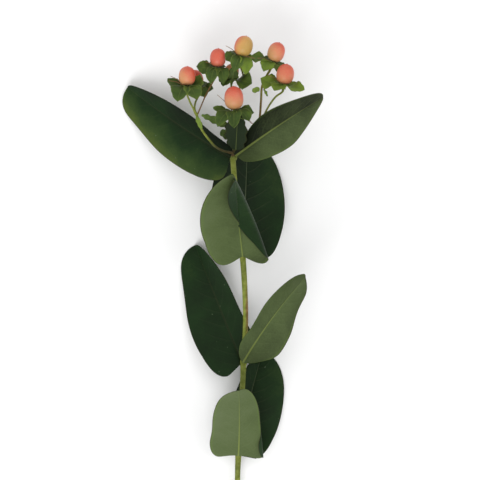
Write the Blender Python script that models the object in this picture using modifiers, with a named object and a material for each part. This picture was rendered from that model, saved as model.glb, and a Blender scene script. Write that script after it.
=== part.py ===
# Hypericum berry stem, lying on a surface with its cut end towards -Y.
# Lengths in millimetres, angles in degrees; everything is scaled to metres when a mesh is made.
import math

import bmesh
import bpy
import numpy as np
from mathutils import Vector

MM = 0.001
CLEAR = 0.3
CENTRE = Vector((-11.55, -28.95, 0.02))

STEM_RADIUS = 1.65
BRANCH_RADIUS = 0.65
STALK_RADIUS = 0.55
BLADE = 0.6
SEPAL = 0.7
CUP_RADIUS = 2.3
SEPAL_SHARE = 0.48
STRAIGHT = 3.0

# Main axis from the cut end to the middle of the flower head: x, y, z and thickness factor.
MAIN_AXIS = (
    (-2.0, -176.7, 1.7, 1.0), (-1.5, -143.2, 6.2, 1.0), (-0.9, -126.9, 8.5, 1.1),
    (1.4, -87.8, 13.6, 1.0), (2.1, -72.2, 15.6, 1.1), (3.2, -53.2, 18.1, 1.0),
    (3.1, -35.4, 20.5, 1.0), (1.5, -8.8, 24.0, 1.1), (-1.4, 14.7, 27.1, 1.0),
    (-3.9, 43.8, 31.0, 1.0), (-3.5, 48.5, 31.6, 1.05), (-1.8, 59.5, 33.1, 0.8),
    (-0.6, 69.9, 34.5, 0.55),
)

# Branches and berry stalks: radius and route. A name from HEADS ends the route at that cup.
STALKS = (
    (BRANCH_RADIUS, None, ((-3.0, 50.6, 32.3), (-9.3, 51.8, 35.0), (-14.0, 54.1, 36.5),
                           (-17.4, 57.6, 37.0), (-22.7, 65.1, 37.0), (-25.3, 73.9, 37.0))),
    (STALK_RADIUS, "1", ((-25.0, 72.1, 37.0), (-27.3, 76.7, 37.5), (-29.4, 81.0, 38.3))),
    (STALK_RADIUS, "2", ((-24.9, 72.1, 36.8), (-26.5, 76.5, 33.0), (-26.0, 81.0, 27.5))),
    (0.4, "3", ((-25.0, 72.4, 36.8), (-23.6, 75.7, 35.5), (-19.5, 85.5, 33.0))),
    (STALK_RADIUS, "7", ((-1.9, 58.9, 33.8), (-2.4, 64.6, 37.2))),
    (STALK_RADIUS, "4", ((-0.8, 68.4, 34.3), (-0.6, 78.6, 28.5), (-0.4, 88.0, 22.0), (1.8, 96.5, 25.5))),
    (STALK_RADIUS, "8", ((-0.9, 67.2, 34.0), (-2.6, 79.4, 32.5))),
    (BRANCH_RADIUS, "5", ((-1.8, 55.4, 33.3), (2.3, 58.9, 34.0), (7.6, 64.1, 35.0), (11.1, 69.3, 35.5),
                          (12.2, 80.7, 35.2), (12.8, 89.2, 34.3), (15.4, 95.4, 33.6))),
    (STALK_RADIUS, "6", ((8.2, 64.7, 35.1), (12.8, 70.4, 35.8), (17.4, 80.2, 37.4), (21.0, 83.8, 39.0))),
)

# Flower heads: middle of the cup, direction of the berry, berry width and length, and for each of
# the five sepals the place of its tip measured from the cup and how far its face turns upwards.
HEADS = {
    "1": ((-30.8, 89.3, 39.5), (0.03, 1.0, 0.07), 9.7, 11.3,
          ((-11.1, 5.2, -3.0, 0.5), (-5.2, -9.2, 7.5, 0.4), (5.4, -8.1, 7.5, 0.4),
           (7.4, 7.0, -2.5, 0.5), (-2.5, 3.5, -6.0, 0))),
    "2": ((-25.2, 88.8, 24.5), (-0.2, 0.98, 0.07), 9.7, 11.2,
          ((9.4, 0.2, 1.5, 0.7), (4.8, -5.3, 6.5, 0.4), (-3.4, -4.2, 6.0, 0.3),
           (-5.4, 2.5, -6.0, 0), (2.8, 5.6, -7.5, 0))),
    "3": ((-13.1, 100.6, 33.0), (0.05, 1.0, 0.08), 9.3, 11.0,
          ((-12.2, 0.8, 1.5, 0.75), (-3.8, -9.6, 7.0, 0.4), (3.4, -9.6, 6.5, 0.4),
           (3.2, 2.5, -6.5, 0), (-3.3, 4.4, -7.5, 0))),
    "4": ((0.6, 106.6, 36.5), (0.25, 0.965, 0.06), 10.6, 12.3,
          ((-8.6, -1.8, 1.0, 0.75), (-4.0, -9.2, 6.5, 0.7), (2.3, -10.6, 5.5, 0.6),
           (6.4, -2.3, -2.0, 0.6), (-2.9, 4.5, -8.0, 0))),
    "5": ((19.2, 103.7, 33.5), (0.32, 0.94, 0.07), 9.9, 11.9,
          ((-12.5, 5.0, 0.0, 0.6), (-6.1, -5.4, 5.5, 0.6), (3.4, -5.6, 1.5, 0.6),
           (6.6, 0.2, -5.5, 0.3), (-2.8, 4.2, -7.0, 0))),
    "6": ((25.3, 90.0, 40.5), (0.16, 0.99, 0.07), 10.2, 12.0,
          ((-12.2, 4.6, -2.5, 0.6), (-5.1, -2.5, 7.5, 0.5), (11.1, -2.5, 6.0, 0.6),
           (8.5, 1.2, -4.5, 0.6), (-1.3, 3.5, -8.0, 0))),
    "7": ((-3.2, 74.9, 43.0), (-0.04, 1.0, 0.06), 11.0, 13.9,
          ((-12.4, 2.2, -2.0, 0.5), (-9.6, -9.4, 7.0, 0.7), (-0.2, -10.6, 9.0, 0),
           (8.4, -6.4, 5.5, 0.7), (11.3, -1.0, -3.5, 0.6))),
    "8": ((-4.9, 93.9, 30.5), (0.04, 1.0, 0.0), 8.2, 9.0,
          ((-6.0, 0.7, 0.0, 0.5), (-3.7, -5.5, 6.0, 0.4), (11.7, -2.6, 3.4, 0.7),
           (3.0, 1.5, -6.0, 0), (-1.5, 3.2, -6.0, 0))),
}

# Leaves. base: where the midrib leaves the stem. head, rise and roll: compass direction, slope and
# tilt at the base; sway, bend and twist: their change up to the tip. fold, open and curl: slope of
# the left and right half at the midrib, its change up to the tip, and its change out to the edge.
# crease: two points of the straight line that a half turns over at, the turn and its radius.
# slim: how much narrower the left half is at the base, and how far up that reaches.
LEAVES = {
    "leaf_a_front": dict(
        base=(-0.9, -127.8, 11.5),
        head=87.6, sway=4.2, rise=46.9, bend=6.5, roll=-0.1, twist=17,
        fold=(-5, 3.1), open=(-1.2, -12.5), curl=(5.5, -9.2),
        length=66.6, half=16.9, share=(1, 0.93), lobe=5.1,
        skew=1.25, full=(0.51, 0.76), columns=8,
        crease=((53.2, -19), (-5, -15), 150, 1.2),
    ),
    "leaf_a_back": dict(
        base=(-0.8, -127.1, 6.1),
        head=79.9, sway=-6.6, rise=-9.2, bend=7.8, roll=-2.6, twist=24.2,
        fold=(9.1, 9.3), open=(7.2, 13.4), curl=(41.9, -8.2),
        length=62.2, half=18.9, share=(0.63, 1.09), lobe=2.4,
        skew=1.2, full=(0.68, 0.88), columns=5,
    ),
    "leaf_b_back": dict(
        base=(1.2, -73, 13.1),
        head=112.1, sway=-0.5, rise=-9.9, bend=0.6, roll=0.2, twist=-7,
        fold=(0.2, -3.1), open=(4.7, 54.1), curl=(-8.8, 15.6),
        length=76, half=19, share=(1.12, 0.75), lobe=5.8,
        skew=1.35, full=(0.58, 0.92), columns=5,
    ),
    "leaf_b_front": dict(
        base=(2, -72.2, 18.1),
        head=55.2, sway=2.9, rise=35.3, bend=2.9, roll=-5.5, twist=-22.9,
        fold=(-5.3, -3.9), open=(-43.4, 26), curl=(-9.1, 16.1),
        length=78.5, half=15.9, share=(0.83, 0.96), lobe=2.9,
        skew=0.86, full=(0.77, 0.97), columns=5,
    ),
    "leaf_c_front": dict(
        base=(1.5, -9, 26.4),
        head=96.7, sway=0.4, rise=45.9, bend=14, roll=5.8, twist=4.8,
        fold=(-1, 19.2), open=(9.8, -6.3), curl=(-0.8, 19.6),
        length=77, half=22.5, share=(1, 0.94), lobe=7.1,
        skew=1.17, full=(0.66, 0.82), columns=9,
        crease=((74.8, 1), (-5, -16), 172, 1.9),
    ),
    "leaf_c_back": dict(
        base=(1.5, -9, 21.4),
        head=86.7, sway=1.8, rise=-13.3, bend=-2, roll=-0.8, twist=16,
        fold=(11.2, 3.4), open=(5.3, -12.2), curl=(5.9, -4.3),
        length=71.6, half=22.1, share=(1, 1.09), lobe=3.2,
        skew=1.2, full=(0.63, 0.87), columns=5,
    ),
    "leaf_d_back": dict(
        base=(-5.4, 47.8, 29.4),
        head=147.5, sway=-6.6, rise=-25, bend=10, roll=3.9, twist=-20,
        fold=(-3, -12.3), open=(4.6, 46.3), curl=(-17.9, 30.4),
        length=78.5, half=20.2, share=(1.01, 0.45), lobe=5.2,
        skew=1.15, full=(0.52, 0.78), columns=5,
    ),
    "leaf_d_front": dict(
        base=(-2.2, 49.4, 34.4),
        head=34.4, sway=-6.4, rise=42.8, bend=4.2, roll=23.6, twist=-41.7,
        fold=(-15.5, -8.3), open=(-24.4, 39.7), curl=(-23.7, -4.8),
        length=76.6, half=13.3, share=(0.95, 1.01), lobe=4,
        skew=0.94, full=(0.61, 0.92), columns=5, slim=(0.7, 0.22),
    ),
}

# Bracts and the young middle leaf: base, compass direction, slope, tilt, length and half width.
BRACTS = {
    "leaf_middle": ((-2.3, 52.6, 37.7), 87, 32, -36, 19.5, 5.0),
    "bract_branch": ((-20.9, 62.1, 38.5), 110, 4, 0, 9.5, 1.6),
    "bract_left": ((-3.5, 65.0, 37.4), 158, 12, 0, 20.5, 2.2),
    "bract_low": ((-3.6, 60.2, 33.6), 160, 8, 0, 8.0, 3.2),
    "bract_stalk_left": ((11.4, 88.2, 34.8), 200, 6, 0, 4.6, 1.8),
    "bract_stalk_right": ((13.9, 88.2, 33.4), -62, -11, 0, 5.0, 1.0),
}

ROWS = 20


def clear_scene():
    for thing in list(bpy.data.objects):
        bpy.data.objects.remove(thing)


def material(name, colour, roughness):
    made = bpy.data.materials.new(name)
    made.use_nodes = True
    shader = made.node_tree.nodes["Principled BSDF"]
    shader.inputs["Base Color"].default_value = (*colour, 1.0)
    shader.inputs["Roughness"].default_value = roughness
    shader.inputs["Metallic"].default_value = 0.0
    return made


def collection(name):
    made = bpy.data.collections.new(name)
    bpy.context.scene.collection.children.link(made)
    return made


def node(name, mesh, look, group, smooth=True):
    made = bpy.data.objects.new(name, mesh)
    mesh.materials.clear()
    mesh.materials.append(look)
    for face in mesh.polygons:
        face.use_smooth = smooth
    group.objects.link(made)
    return made


# Curves through a few points

def smooth_path(points, per_span):
    pts = np.array(points, float)
    pts = np.vstack([2 * pts[0] - pts[1], pts, 2 * pts[-1] - pts[-2]])
    out = []
    for k in range(1, len(pts) - 2):
        p0, p1, p2, p3 = pts[k - 1:k + 3]
        for step in range(per_span):
            t = step / per_span
            out.append(0.5 * (2 * p1 + (p2 - p0) * t + (2 * p0 - 5 * p1 + 4 * p2 - p3) * t * t
                              + (3 * p1 - p0 - 3 * p2 + p3) * t ** 3))
    out.append(pts[-2])
    return np.array(out)


def tube(name, points, radius, sides, group):
    """A closed tube: x, y, z and thickness factor at each point."""
    curve = bpy.data.curves.new(name, "CURVE")
    curve.dimensions = "3D"
    curve.bevel_depth = radius * MM
    curve.bevel_resolution = sides // 2 - 2
    curve.use_fill_caps = True
    spline = curve.splines.new("POLY")
    spline.points.add(len(points) - 1)
    for point, (x, y, z, factor) in zip(spline.points, points):
        place = (Vector((x, y, z)) - CENTRE) * MM
        point.co = (*place, 1.0)
        point.radius = factor
    route = bpy.data.objects.new(name, curve)
    group.objects.link(route)
    graph = bpy.context.evaluated_depsgraph_get()
    mesh = bpy.data.meshes.new_from_object(route.evaluated_get(graph))
    bpy.data.objects.remove(route)
    form = bmesh.new()
    form.from_mesh(mesh)
    bmesh.ops.remove_doubles(form, verts=form.verts, dist=0.005 * MM)
    bmesh.ops.recalc_face_normals(form, faces=form.faces)
    form.to_mesh(mesh)
    form.free()
    made = bpy.data.objects.new(name, mesh)
    group.objects.link(made)
    return made


# Stem: main axis, branches and berry stalks grown together

def stalk_end(key):
    cup, toward = Vector(HEADS[key][0]), Vector(HEADS[key][1]).normalized()
    end = cup - toward * (SEPAL + CLEAR)
    return tuple(end - toward * STRAIGHT), tuple(end)


def stem(look, group):
    joined = collection("stem_pieces")
    axis = tube("stem", smooth_path(MAIN_AXIS, 3), STEM_RADIUS, 10, group)
    for number, (radius, key, route) in enumerate(STALKS):
        points = list(route)
        if key:
            points.extend(stalk_end(key))
        path = [(*p, 1.0) for p in smooth_path(points, 3)]
        tube("stalk_%d" % number, path, radius, 8, joined)
    union = axis.modifiers.new("grown together", "BOOLEAN")
    union.operation = "UNION"
    union.operand_type = "COLLECTION"
    union.collection = joined
    union.solver = "EXACT"
    graph = bpy.context.evaluated_depsgraph_get()
    mesh = bpy.data.meshes.new_from_object(axis.evaluated_get(graph))
    bpy.data.objects.remove(axis)
    for piece in list(joined.objects):
        bpy.data.objects.remove(piece)
    bpy.data.collections.remove(joined)
    return node("stem", mesh, look, group)


# Leaf blades

def outline(t, leaf):
    """Flat edge for t from base to tip: distance along the midrib and out from it."""
    turn = math.pi * t
    along = ((1 - np.cos(turn)) / 2) ** leaf["skew"]
    base_full, tip_full = leaf["full"]
    out = np.maximum(np.sin(turn), 0) ** (base_full + (tip_full - base_full) * along)
    back = leaf["lobe"] * np.sin(math.pi * np.clip(t / 0.36, 0, 1)) ** 1.2
    return leaf["length"] * along - back, leaf["half"] * out


def midrib(leaf):
    """Distances along the midrib with its point, sideways and upward directions."""
    u = np.linspace(-0.25, 1.06, 240) * leaf["length"]
    share = np.clip(u / leaf["length"], 0, 1.06)
    head = np.radians(leaf["head"] + leaf["sway"] * share)
    rise = np.radians(leaf["rise"] + leaf["bend"] * share)
    roll = np.radians(leaf["roll"] + leaf["twist"] * share)[:, None]
    ahead = np.stack([np.cos(head) * np.cos(rise), np.sin(head) * np.cos(rise), np.sin(rise)], 1)
    level = np.stack([-np.sin(head), np.cos(head), 0 * head], 1)
    side = level * np.cos(roll) + np.cross(ahead, level) * np.sin(roll)
    up = np.cross(ahead, side)
    steps = (ahead[1:] + ahead[:-1]) / 2 * np.diff(u)[:, None]
    place = np.vstack([[0, 0, 0], np.cumsum(steps, 0)])
    start = np.array([np.interp(0, u, place[:, i]) for i in range(3)])
    return u, place - start + np.array(leaf["base"]), side, up


def turned_over(u, v, crease):
    """Flat points beyond a straight crease roll over it: along, across and height above."""
    (u0, v0), (u1, v1), turn, radius = crease
    reach = math.hypot(u1 - u0, v1 - v0)
    du, dv = (u1 - u0) / reach, (v1 - v0) / reach
    along = (u - u0) * du + (v - v0) * dv
    off = (v - v0) * du - (u - u0) * dv
    past = np.maximum(off, 0)
    angle = np.minimum(past / radius, math.radians(turn))
    rest = past - angle * radius
    off = np.where(off > 0, radius * np.sin(angle) + rest * np.cos(angle), off)
    lift = radius * (1 - np.cos(angle)) + rest * np.sin(angle)
    return u0 + along * du - off * dv, v0 + along * dv + off * du, lift


def blade_points(leaf, rows, columns):
    """Rows from base to tip, each from the right edge over the midrib to the left edge."""
    t = np.linspace(0, 1, rows)[:, None]
    s = np.linspace(-1, 1, 2 * columns + 1)[None, :]
    edge_u, edge_v = outline(t, leaf)
    vein_u = leaf["length"] * ((1 - np.cos(math.pi * t)) / 2) ** (leaf["skew"] * 1.35)
    u = vein_u + (edge_u - vein_u) * np.abs(s)
    depth, reach = leaf.get("slim", (0.0, 1.0))
    narrow = 1 - depth * np.exp(-(u / (reach * leaf["length"])) ** 2)
    v = edge_v * s * np.where(s > 0, leaf["share"][0] * narrow, leaf["share"][1])
    lift = np.zeros_like(u)
    if "crease" in leaf:
        u, v, lift = turned_over(u, v, leaf["crease"])
    left = v > 0
    share = np.clip(u / leaf["length"], 0, 1)
    slope = np.radians(np.where(left, *leaf["fold"]) + np.where(left, *leaf["open"]) * share)
    bend = np.radians(np.where(left, *leaf["curl"])) / leaf["half"] + 1e-6
    out = np.abs(v)
    across = (np.sin(slope + bend * out) - np.sin(slope)) / bend - lift * np.sin(slope + bend * out)
    above = (np.cos(slope) - np.cos(slope + bend * out)) / bend + lift * np.cos(slope + bend * out)
    wave = np.sin(3 * math.pi * share + np.where(left, 1.3, 0.0))
    above = above + leaf.get("wave", 0.5) * (out / leaf["half"]) ** 2 * wave
    along, place, side, up = midrib(leaf)
    place, side, up = (np.stack([np.interp(u, along, rail[:, i]) for i in range(3)], -1)
                       for rail in (place, side, up))
    return place + side * (np.where(left, across, -across))[..., None] + up * above[..., None]


def sheet(name, points):
    """A grid laid through the points and split into triangles."""
    rows, columns = points.shape[:2]
    form = bmesh.new()
    bmesh.ops.create_grid(form, x_segments=columns - 1, y_segments=rows - 1, size=1.0)
    form.verts.ensure_lookup_table()
    order = sorted(form.verts, key=lambda p: (round(p.co.y, 5), round(p.co.x, 5)))
    for vertex, place in zip(order, points.reshape(-1, 3)):
        vertex.co = (Vector(place) - CENTRE) * MM
    bmesh.ops.remove_doubles(form, verts=form.verts, dist=0.05 * MM)
    bmesh.ops.triangulate(form, faces=form.faces)
    mesh = bpy.data.meshes.new(name)
    form.to_mesh(mesh)
    form.free()
    return mesh


def thicken(made, thick, offset):
    solid = made.modifiers.new("thickness", "SOLIDIFY")
    solid.thickness = thick * MM
    solid.offset = offset
    solid.use_even_offset = False
    return made


def leaf_node(name, look, group):
    leaf = LEAVES[name]
    points = blade_points(leaf, ROWS, leaf["columns"])
    return thicken(node(name, sheet(name, points), look, group), BLADE, 0.0)


def bract_node(name, look, group):
    base, head, rise, roll, length, half = BRACTS[name]
    leaf = dict(base=base, head=head, sway=0, rise=rise, bend=-12, roll=roll, twist=0,
                fold=(8, 8), open=(0, 0), curl=(12, 12), length=length, half=half, share=(1, 1),
                lobe=0.0, skew=1.0, full=(0.8, 1.0), wave=0.0)
    points = blade_points(leaf, 9, 2)
    return thicken(node(name, sheet(name, points), look, group), BLADE, 0.0)


# Calyx: five sepals round a small cup

def sepal_rows(radial, axis, tip, turned, hub, half, spread, rows, columns):
    """Points of one sepal from its arc of the cup out to its tip, clear of its neighbours."""
    start = radial * CUP_RADIUS
    middle = start + radial * 0.45 * (tip - start).length
    reach = tip - start
    turn = 1.0 if axis.cross(reach).dot(reach.cross(Vector((0, 0, 1)))) > 0 else -1.0
    out = [hub]
    for k in range(1, rows + 1):
        s = k / rows
        centre = start.lerp(middle, s).lerp(middle.lerp(tip, s), s)
        ahead = (middle - start).lerp(tip - middle, s).normalized()
        across = axis.cross(ahead).normalized()
        level = ahead.cross(Vector((0, 0, turn))).normalized()
        side = across.lerp(level, turned * min(1.0, 1.6 * s)).normalized()
        beside = spread * (centre - axis * centre.dot(axis)).length - SEPAL / 2
        width = min(half * math.sin(math.pi * (0.14 + 0.83 * s)) ** 0.8, beside)
        dish = -0.10 * width
        normal = ahead.cross(side)
        out.append([centre + side * width * q + normal * dish * (1 - q * q)
                    for q in np.linspace(-1, 1, columns + 1)])
    return out


def calyx_points(key, rows=4, columns=4):
    cup, toward, _, _, tips = HEADS[key]
    axis = Vector(toward).normalized()
    first = axis.orthogonal().normalized()
    second = axis.cross(first)
    sepals = []
    for *place, turned in tips:
        tip = Vector(place)
        sepals.append((math.atan2(tip.dot(second), tip.dot(first)), tip, turned))
    sepals.sort(key=lambda sepal: sepal[0])
    count = len(sepals)
    gaps = [(sepals[(k + 1) % count][0] - sepals[k][0]) % (2 * math.pi) for k in range(count)]
    out = []
    for k, (angle, tip, turned) in enumerate(sepals):
        low, high = angle - gaps[k - 1] / 2, angle + gaps[k] / 2
        hub = [first * math.cos(a) * CUP_RADIUS + second * math.sin(a) * CUP_RADIUS
               for a in np.linspace(low, high, columns + 1)]
        radial = first * math.cos(angle) + second * math.sin(angle)
        spread = math.tan(min(gaps[k - 1], gaps[k], 1.6) / 2)
        half = min(SEPAL_SHARE * tip.length, spread * (CUP_RADIUS + 0.4 * tip.length))
        out.append(sepal_rows(radial, axis, tip, turned, hub, half, spread, rows, columns))
    return Vector(cup), axis, out


def calyx_node(key, look, group):
    """The sepals share their corners on the cup, so the sheet is one body."""
    cup, axis, sepals = calyx_points(key)
    form = bmesh.new()
    centre = form.verts.new((cup - CENTRE) * MM)
    for sepal in sepals:
        grid = [[form.verts.new((cup + p - CENTRE) * MM) for p in row] for row in sepal]
        for a, b in zip(grid[0], grid[0][1:]):
            form.faces.new((centre, a, b))
        for low, high in zip(grid, grid[1:]):
            for a, b, c, d in zip(low, high, high[1:], low[1:]):
                form.faces.new((a, b, c, d))
    bmesh.ops.remove_doubles(form, verts=form.verts, dist=0.01 * MM)
    bmesh.ops.triangulate(form, faces=form.faces)
    bmesh.ops.recalc_face_normals(form, faces=form.faces)
    name = "calyx_" + key
    mesh = bpy.data.meshes.new(name)
    form.to_mesh(mesh)
    form.free()
    made = node(name, mesh, look, group)
    up = sum((face.normal.dot(axis) for face in mesh.polygons))
    return thicken(made, SEPAL, -1.0 if up > 0 else 1.0)


# Berries: egg-shaped capsules with the dry style stub on the tip

def berry_node(key, look, group):
    cup, toward, width, length, _ = HEADS[key]
    axis = Vector(toward).normalized()
    turn = axis.to_track_quat("Z", "Y")
    form = bmesh.new()
    bmesh.ops.create_uvsphere(form, u_segments=14, v_segments=10, radius=1.0)
    for vertex in form.verts:
        height = vertex.co.z
        belly = 1.0 - 0.10 * height
        stub = 0.25 if height > 0.999 else 0.0
        flat = Vector((vertex.co.x * belly * width / 2, vertex.co.y * belly * width / 2,
                       (height + 1.0) * length / 2 + stub))
        place = Vector(cup) + axis * CLEAR + turn @ flat
        vertex.co = (place - CENTRE) * MM
    mesh = bpy.data.meshes.new("berry_" + key)
    form.to_mesh(mesh)
    form.free()
    return node("berry_" + key, mesh, look, group)


def build():
    clear_scene()
    group = collection("hypericum_berry_stem")
    stem(material("stem", (0.20, 0.26, 0.05), 0.55), group)
    green = material("leaf", (0.035, 0.085, 0.03), 0.5)
    for name in LEAVES:
        leaf_node(name, green, group)
    young = material("bract", (0.09, 0.19, 0.03), 0.5)
    for name in BRACTS:
        bract_node(name, young, group)
    sepal = material("calyx", (0.10, 0.19, 0.03), 0.5)
    berry = material("berry", (0.80, 0.20, 0.12), 0.35)
    for key in HEADS:
        calyx_node(key, sepal, group)
        berry_node(key, berry, group)


build()
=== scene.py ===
import math

import bmesh
import bpy
import numpy as np
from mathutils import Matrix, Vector


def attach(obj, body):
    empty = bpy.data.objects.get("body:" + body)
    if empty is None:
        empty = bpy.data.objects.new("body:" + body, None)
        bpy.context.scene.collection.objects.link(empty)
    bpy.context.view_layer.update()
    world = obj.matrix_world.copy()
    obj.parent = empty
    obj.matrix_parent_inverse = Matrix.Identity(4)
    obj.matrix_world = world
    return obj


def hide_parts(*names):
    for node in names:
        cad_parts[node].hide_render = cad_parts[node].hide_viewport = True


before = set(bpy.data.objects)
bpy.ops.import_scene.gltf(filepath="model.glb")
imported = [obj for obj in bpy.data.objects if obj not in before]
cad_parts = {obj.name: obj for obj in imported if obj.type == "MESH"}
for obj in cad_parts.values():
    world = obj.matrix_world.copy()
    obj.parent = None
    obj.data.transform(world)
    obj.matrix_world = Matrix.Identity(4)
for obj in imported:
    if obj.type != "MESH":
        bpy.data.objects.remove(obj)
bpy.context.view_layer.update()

# Stem
# The green woody stem, cut off at its lower end, with the branches of the flower head and the
# berry stalks grown out of it. Its bark is smooth and yellow-green, reddish where the sun met it,
# and it swells into a knot wherever a pair of leaves sits, with shade painted on it next to the knots.

MM = 0.001
CENTRE = Vector((-11.55, -28.95, 0.02))
STEM_RADIUS = 1.65
# Middle of the main stem: x, y, z and its thickness there as a share of the radius.
MAIN_AXIS = (
    (-2.0, -176.7, 1.7, 1.0), (-1.5, -143.2, 6.2, 1.0), (-0.9, -126.9, 8.5, 1.1),
    (1.4, -87.8, 13.6, 1.0), (2.1, -72.2, 15.6, 1.1), (3.2, -53.2, 18.1, 1.0),
    (3.1, -35.4, 20.5, 1.0), (1.5, -8.8, 24.0, 1.1), (-1.4, 14.7, 27.1, 1.0),
    (-3.9, 43.8, 31.0, 1.0), (-3.5, 48.5, 31.6, 1.05), (-1.8, 59.5, 33.1, 0.8),
    (-0.6, 69.9, 34.5, 0.55),
)
# Where the pairs of leaves sit along the stem.
KNOTS = (-127.2, -72.6, -9.2, 48.2)
KNOT_SWELLING = 0.17
KNOT_REACH = 1.6
# The cup under each berry: its middle, and the direction from stalk to berry.
CUPS = {
    "1": ((-30.8, 89.3, 39.5), (0.03, 1.0, 0.07)),
    "2": ((-25.2, 88.8, 24.5), (-0.2, 0.98, 0.07)),
    "3": ((-13.1, 100.6, 33.0), (0.05, 1.0, 0.08)),
    "4": ((0.6, 106.6, 36.5), (0.25, 0.965, 0.06)),
    "5": ((19.2, 103.7, 33.5), (0.32, 0.94, 0.07)),
    "6": ((25.3, 90.0, 40.5), (0.16, 0.99, 0.07)),
    "7": ((-3.2, 74.9, 43.0), (-0.04, 1.0, 0.06)),
    "8": ((-4.9, 93.9, 30.5), (0.04, 1.0, 0.0)),
}
# Each stalk: radius, the cup it ends at, how red it is at its foot and at its end, and its route.
STALKS = (
    (0.65, None, 1.0, 0.0, ((-3.0, 50.6, 32.3), (-9.3, 51.8, 35.0), (-14.0, 54.1, 36.5),
                            (-17.4, 57.6, 37.0), (-22.7, 65.1, 37.0), (-25.3, 73.9, 37.0))),
    (0.55, "1", 0.0, 0.0, ((-25.0, 72.1, 37.0), (-27.3, 76.7, 37.5), (-29.4, 81.0, 38.3))),
    (0.55, "2", 0.0, 0.0, ((-24.9, 72.1, 36.8), (-26.5, 76.5, 33.0), (-26.0, 81.0, 27.5))),
    (0.38, "3", 1.1, 1.3, ((-25.0, 72.4, 36.8), (-23.6, 75.7, 35.5), (-19.5, 85.5, 33.0))),
    (0.55, "7", 0.1, 0.0, ((-1.9, 58.9, 33.8), (-2.4, 64.6, 37.2))),
    (0.55, "4", 0.3, 0.0, ((-0.8, 68.4, 34.3), (-0.6, 78.6, 28.5), (-0.4, 88.0, 22.0),
                           (1.8, 96.5, 25.5))),
    (0.55, "8", 0.2, 0.0, ((-0.9, 67.2, 34.0), (-2.6, 79.4, 32.5))),
    (0.65, "5", 1.0, 0.3, ((-1.8, 55.4, 33.3), (2.3, 58.9, 34.0), (7.6, 64.1, 35.0),
                           (11.1, 69.3, 35.5), (12.2, 80.7, 35.2), (12.8, 89.2, 34.3),
                           (15.4, 95.4, 33.6))),
    (0.55, "6", 0.5, 0.0, ((8.2, 64.7, 35.1), (12.8, 70.4, 35.8), (16.6, 77.6, 37.2),
                           (20.6, 83.0, 39.0))),
)
SEPAL_DEPTH = 1.0
STRAIGHT = 3.0
CUP_INSET = 0.4
BARK_INSET = 0.04
MAIN_STEPS = 14
STALK_STEPS = 8
STALK_FLARE = 0.5
FLARE_POWER = 8
STALK_FOOT = 0.35
FOOT_FALL = 6.0
STEM_SIDES = 20
WELD = 0.002
# Redness of the main stem: everywhere below the flower head, and more where the sun met it.
PLAIN_BLUSH = 0.2
SUN_BLUSH = 0.7
SUN_PLACE = -42.0
SUN_REACH = 22.0
BLUSH_END = 40.0
# A point of the bark within this distance of a stalk's middle takes the stalk's redness.
STALK_REACH = 2.0
FAR = 9e9
# Painted shade on the bark next to the knots and under the flower head: place along the stem, reach and
# darkness.
PAINTED_SHADES = ((52.5, 4.5, 0.75),) + tuple((knot - 9.0, 7.0, 0.35) for knot in KNOTS[:3])


def smooth_path(points, per_span):
    pts = np.array(points, float)
    pts = np.vstack([2 * pts[0] - pts[1], pts, 2 * pts[-1] - pts[-2]])
    out = []
    for k in range(1, len(pts) - 2):
        p0, p1, p2, p3 = pts[k - 1:k + 3]
        for step in range(per_span):
            t = step / per_span
            out.append(0.5 * (2 * p1 + (p2 - p0) * t + (2 * p0 - 5 * p1 + 4 * p2 - p3) * t * t
                              + (3 * p1 - p0 - 3 * p2 + p3) * t ** 3))
    out.append(pts[-2])
    return np.array(out)


def cup_of(key):
    place, toward = CUPS[key]
    return Vector(place), Vector(toward).normalized()


def sweep_tree(name):
    """Geometry nodes that sweep a round section along every route of a curve."""
    tree = bpy.data.node_groups.new(name, "GeometryNodeTree")
    sockets = (("Routes", "Geometry"), ("Radius", "Float"), ("Sides", "Int"), ("Material", "Material"))
    for label, kind in sockets:
        tree.interface.new_socket(label, in_out="INPUT", socket_type="NodeSocket" + kind)
    tree.interface.new_socket("Tubes", in_out="OUTPUT", socket_type="NodeSocketGeometry")
    given = tree.nodes.new("NodeGroupInput")
    made = tree.nodes.new("NodeGroupOutput")
    section = tree.nodes.new("GeometryNodeCurvePrimitiveCircle")
    thickness = tree.nodes.new("GeometryNodeInputRadius")
    sweep = tree.nodes.new("GeometryNodeCurveToMesh")
    sweep.inputs["Fill Caps"].default_value = True
    plain = tree.nodes.new("GeometryNodeRealizeInstances")
    paint = tree.nodes.new("GeometryNodeSetMaterial")
    link = tree.links.new
    link(given.outputs["Routes"], sweep.inputs["Curve"])
    link(given.outputs["Radius"], section.inputs["Radius"])
    link(given.outputs["Sides"], section.inputs["Resolution"])
    link(section.outputs["Curve"], sweep.inputs["Profile Curve"])
    link(thickness.outputs["Radius"], sweep.inputs["Scale"])
    link(sweep.outputs["Mesh"], plain.inputs["Geometry"])
    link(plain.outputs["Geometry"], paint.inputs["Geometry"])
    link(given.outputs["Material"], paint.inputs["Material"])
    link(paint.outputs["Geometry"], made.inputs["Tubes"])
    return tree


def guide_curve(name, routes):
    """One curve object with a spline for each route: x, y, z and thickness factor at each point."""
    curve = bpy.data.curves.new(name, "CURVE")
    curve.dimensions = "3D"
    for route in routes:
        spline = curve.splines.new("POLY")
        spline.points.add(len(route) - 1)
        for point, (x, y, z, factor) in zip(spline.points, route):
            point.co = (*((Vector((x, y, z)) - CENTRE) * MM), 1.0)
            point.radius = factor
    guide = bpy.data.objects.new(name, curve)
    bpy.context.scene.collection.objects.link(guide)
    return guide


def welded(mesh, distance, outwards=False):
    """Joins the points that lie on each other, and turns the faces outwards where asked."""
    weld = bmesh.new()
    weld.from_mesh(mesh)
    bmesh.ops.remove_doubles(weld, verts=weld.verts, dist=distance * MM)
    if outwards:
        bmesh.ops.recalc_face_normals(weld, faces=weld.faces)
    weld.to_mesh(mesh)
    weld.free()


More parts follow.
